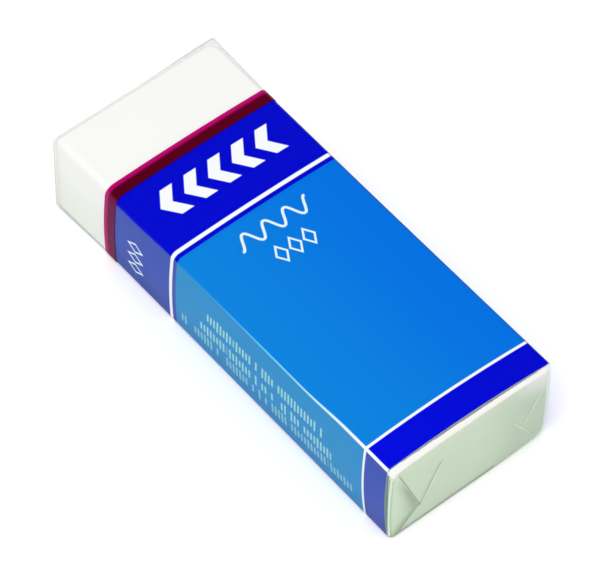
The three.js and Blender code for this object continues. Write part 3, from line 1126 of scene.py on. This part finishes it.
# A painted highlight: the white glow in the far top corner, and its reach there.
GLOW_PLACE = (-11.2, 12.8)
GLOW_SQUEEZE = 0.75
GLOW_CHANGE = (2.9, -1.8)

# Painted shade in the tuck beside the flaps' front edges, which slope away from their apex.
EDGE_SLOPES = (0.39, -0.95)
TUCK_START = (0.0, 0.1)
TUCK_CHANGE = (1.5, -1.5)
TUCK_FALL = 1.5
TUCK_NARROWING = 0.7
NARROWING_CHANGE = (6.0, 2.0)
TUCK_TOP = (9.3, -2.3)
TUCK_SHARE = 0.56


def end_film(name, tones, alpha, glow=0.0):
    """The near end's film: painted light pales it to the front and top, and painted shade dims it to
    the back, low down, at the foot and in the tuck beside the flaps.
    """
    finish = film_finish(name, alpha, roughness=0.18)
    middle, back = tones
    y, z = finish.own_axis("Y"), finish.own_axis("Z")
    tone = finish.mix(finish.step(y, *BACK_SHADE_CHANGE), back, middle)
    tone = finish.mix(finish.step(y, *FRONT_LIT_CHANGE), tone, FRONT_LIT_TONE)
    tone = finish.mix(finish.times(finish.step(z, *TOP_LIT_CHANGE), TOP_LIT_SHARE), tone, TOP_LIT_TONE)
    low = finish.times(finish.step(z, *LOW_SHADE_CHANGE), LOW_SHADE_SHARE)
    foot = finish.times(finish.step(z, *FOOT_SHADE_CHANGE), FOOT_SHADE_SHARE)
    tone = finish.mix(finish.math("ADD", low, foot), tone, SHADE_TONE)
    tone = finish.mix(tuck_shade(finish, y, z), tone, SHADE_TONE)
    if glow:
        tone = finish.mix(finish.times(corner_glow(finish, y, z), glow), tone, GLOW_TONE)
    finish.paint(tone)
    return finish.material


def tuck_shade(finish, y, z):
    """Dim beside the front's flap edges, in a strip that widens towards the foot."""
    up = finish.minus(z, APEX[1])
    slopes = [finish.times(up, slope) for slope in EDGE_SLOPES]
    past_edge = finish.minus(finish.minus(y, APEX[0]), finish.math("MAXIMUM", *slopes))
    narrow = finish.step(z, *NARROWING_CHANGE)
    narrow = finish.math("MULTIPLY_ADD", narrow, TUCK_NARROWING, 1.0)
    fading = finish.step(finish.times(past_edge, narrow), *TUCK_CHANGE)
    fading = finish.math("POWER", fading, TUCK_FALL)
    shade = finish.times(finish.step(past_edge, *TUCK_START), fading)
    return finish.times(shade, finish.step(z, *TUCK_TOP), TUCK_SHARE)


def corner_glow(finish, y, z):
    """A painted highlight, bright in the far top corner and fading away from it."""
    aside = finish.times(finish.minus(y, GLOW_PLACE[0]), GLOW_SQUEEZE)
    below = finish.minus(z, GLOW_PLACE[1])
    square = finish.math("MULTIPLY_ADD", aside, aside, finish.times(below, below))
    return finish.step(finish.math("SQRT", square), *GLOW_CHANGE)


# Tones of the tape: two that its streaks mix, and one on the narrow sides, a painted reflection.
TAPE_OVER_CARD = (linear(76, 0, 22), linear(96, 3, 32), linear(110, 28, 72))
TAPE_OVER_VINYL = (linear(180, 4, 104), linear(192, 14, 114), linear(184, 38, 115))
TAPE_CHANGE = (sleeve_far + SLANT - SLANT_TOP, 0.26)
TAPE_SIDE_SHEEN_CHANGE = (SLEEVE_HALF - 0.1, 0.15)


def tape_ink():
    """Dark over the blue card and bright over the white eraser, and bluer on the narrow sides, which
    is a painted reflection.
    """
    finish = Finish("tear_tape", roughness=0.24, specular=0.01)
    slant = finish.math("MULTIPLY_ADD", finish.own_axis("Z"), SLANT / wrap_height, finish.own_axis("X"))
    aside = finish.step(finish.math("ABSOLUTE", finish.own_axis("Y")), *TAPE_SIDE_SHEEN_CHANGE)
    streak = finish.noise(scale=60.0, detail=2.0)
    tones = []
    for deep, pale, side in (TAPE_OVER_CARD, TAPE_OVER_VINYL):
        tones.append(finish.mix(aside, finish.mix(streak, deep, pale), side))
    finish.paint(finish.mix(finish.step(slant, *TAPE_CHANGE), *tones))
    return finish.material


# Whole pack

def add_piece(shape, name, materials, body, slot, *nodes):
    piece = shape.build(name, materials)
    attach(piece, body)
    if nodes:
        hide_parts(*nodes)


clear_film = film("clear_film", linear(30, 40, 30), alpha=0.015, roughness=0.08)
# Painted highlight on the film's bend over the mouth.
rim_highlight_film = film("rim_highlight_film", linear(255, 255, 253), alpha=0.85, roughness=0.12)
# Painted shade on the film's bend at the near end's foot.
dim_shade_film = film("dim_shade_film", linear(176, 190, 170), alpha=0.7, roughness=0.18)
# Painted shade in the gap behind the film on the front's bend.
strip_shade_film = film("strip_shade_film", linear(98, 142, 132), alpha=0.42, roughness=0.12)
# Painted highlight on the film's front and back bends.
line_highlight_film = film("line_highlight_film", linear(232, 249, 226), alpha=0.8, roughness=0.12)
# Painted shade and reflection where the cap's film stands off the block.
edge_shade_film = film("edge_shade_film", linear(118, 130, 120), alpha=0.15, roughness=0.1)
ply_film = film("ply_film", linear(225, 240, 220), alpha=0.03, roughness=0.12)
# Painted shade and highlight lines along the flaps' edges.
fold_shade = film("fold_shade", linear(110, 130, 102), alpha=0.2, roughness=0.12)
fold_shine = film("fold_shine", linear(255, 255, 250), alpha=0.18, roughness=0.12)
fold_gleam = film("fold_gleam", linear(240, 255, 240), alpha=0.32, roughness=0.12)
fold_looks = [ply_film, fold_shade, fold_shine, fold_gleam]
# The near end's film tones hold painted light and shade, and the wall's a painted highlight in its
# corner.
folded_film = end_film("end_film", FOLDED_TONES, alpha=0.35)
wall_film = end_film("wall_film", WALL_TONES, alpha=0.7, glow=0.95)
near_looks = [clear_film, folded_film, rim_highlight_film, dim_shade_film, strip_shade_film, line_highlight_film, wall_film]
tape = tape_ink()

add_piece(vinyl_block(), "vinyl_block", [vinyl()], "eraser", "vinyl", "eraser_block")
card_looks = [printed_card(), raw_board(), cut_edge()]
add_piece(card_blank(), "printed_sleeve", card_looks, "sleeve", "printed_card", "card_sleeve")

body_stations = np.linspace(near_wall + max(NEAR_BENDS), body_high[0], BODY_STATIONS)[1:]
near_cup = film_cup(film_form, body_stations, near_wall, -1, NEAR_BENDS, body_look)
add_piece(near_cup, "wrap_body", near_looks, "wrap_body", "clear_film", "film_body")
near_folds = end_folds(near_wall, -1, no_lean, NEAR_LEVELS, NEAR_ROOT_RISE)
add_piece(near_folds, "near_end_folds", fold_looks, "wrap_body", "clear_film")
seam_sizes = (SEAM_LOW, SEAM_HIGH, SEAM_STAND, FILM)
body_seam = side_strip(film_form, body_stations[0], body_high[0], *seam_sizes)
add_piece(body_seam, "body_seam", [clear_film], "wrap_body", "clear_film")

cap_stations = np.linspace(far_wall - max(FAR_BENDS), cap_low[0], CAP_STATIONS)[1:]
far_cup = film_cup(cap_form, cap_stations, far_wall, 1, FAR_BENDS, cap_look, cap_station)
add_piece(far_cup, "wrap_cap", [clear_film, edge_shade_film], "wrap_cap", "clear_film", "film_cap")
far_folds = end_folds(far_wall, 1, cap_lean, FAR_LEVELS, 0.0)
add_piece(far_folds, "far_end_folds", fold_looks, "wrap_cap", "clear_film")
cap_seam = side_strip(cap_form, cap_low[0], far_wall - CAP_SEAM_INSET, *seam_sizes)
add_piece(cap_seam, "cap_seam", [clear_film], "wrap_cap", "clear_film")

add_piece(tape_band(), "tape_band", [tape], "sleeve", "tear_tape", "tear_tape")
tab_low = SEAM_HIGH - TAB_LENGTH
tab = side_strip(tape_form, tape_low[0], tape_far, tab_low, SEAM_HIGH, TAB_STAND, TAB, TAB_LIFT)
add_piece(tab, "tape_tab", [tape], "sleeve", "tear_tape")

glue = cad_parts["sleeve_glue"]
glue.data.materials.clear()
glue.data.materials.append(dried_glue())


# Stage

# Lengths of the floor, the light and the camera are in metres.
FLOOR_SIDE = 6.0
FLOOR_GLOW = 0.15
SKY_STRENGTH = 0.64
KEY_POWER = 10.5
KEY_SIDE = 1.1
KEY_PLACE = (-0.25, 0.45, 1.35)


def floor():
    """A white floor, with a faint glow that is seen and mirrored but lights nothing."""
    half = FLOOR_SIDE / 2
    corners = [(-half, -half, 0), (half, -half, 0), (half, half, 0), (-half, half, 0)]
    mesh = bpy.data.meshes.new("floor")
    mesh.from_pydata(corners, [], [(0, 1, 2, 3)])
    finish = Finish("floor", roughness=0.9, specular=0.0)
    finish.paint(WHITE)
    path = finish.node("ShaderNodeLightPath")
    seen = finish.math("MAXIMUM", path.outputs["Is Camera Ray"], path.outputs["Is Glossy Ray"])
    seen = finish.math("MAXIMUM", seen, path.outputs["Is Transmission Ray"])
    finish.shader.inputs["Emission Color"].default_value = WHITE
    finish.plug(finish.shader.inputs["Emission Strength"], finish.times(seen, FLOOR_GLOW))
    mesh.materials.append(finish.material)
    made = bpy.data.objects.new("floor", mesh)
    bpy.context.scene.collection.objects.link(made)


def sky():
    world = bpy.data.worlds.new("studio")
    bpy.context.scene.world = world
    world.use_nodes = True
    tree = world.node_tree
    background = tree.nodes["Background"]
    background.inputs["Color"].default_value = WHITE
    background.inputs["Strength"].default_value = SKY_STRENGTH


def key_light():
    data = bpy.data.lights.new("key", "AREA")
    data.size = KEY_SIDE
    data.energy = KEY_POWER
    lamp = bpy.data.objects.new("key", data)
    lamp.location = KEY_PLACE
    lamp.rotation_mode = "QUATERNION"
    lamp.rotation_quaternion = Vector(KEY_PLACE).to_track_quat("Z", "Y")
    bpy.context.scene.collection.objects.link(lamp)


# Camera, as the photograph was taken.
VIEW_AZIMUTH = math.radians(229.65)
VIEW_ELEVATION = math.radians(53.691)
VIEW_ROLL = math.radians(1.062)
VIEW_DISTANCE = 0.50398
VIEW_TARGET = Vector((-0.51, 0.38, 6.0)) * MM
VIEW_LENS = 263.63
SENSOR_WIDTH = 36


def camera():
    east, north = math.sin(VIEW_AZIMUTH), -math.cos(VIEW_AZIMUTH)
    level = math.cos(VIEW_ELEVATION)
    back = Vector((east * level, north * level, math.sin(VIEW_ELEVATION)))
    flat_right = Vector((-north, east, 0))
    flat_up = back.cross(flat_right)
    right = flat_right * math.cos(VIEW_ROLL) + flat_up * math.sin(VIEW_ROLL)
    up = back.cross(right)
    data = bpy.data.cameras.new("camera")
    data.lens = VIEW_LENS
    data.sensor_width = SENSOR_WIDTH
    data.clip_start = 0.01
    data.clip_end = 20
    made = bpy.data.objects.new("camera", data)
    turn = Matrix((right, up, back)).transposed().to_4x4()
    made.matrix_world = Matrix.Translation(VIEW_TARGET + back * VIEW_DISTANCE) @ turn
    bpy.context.scene.collection.objects.link(made)
    bpy.context.scene.camera = made


floor()
sky()
key_light()
camera()
bpy.context.scene.view_settings.view_transform = "Standard"
bpy.context.scene.cycles.transparent_max_bounces = 48
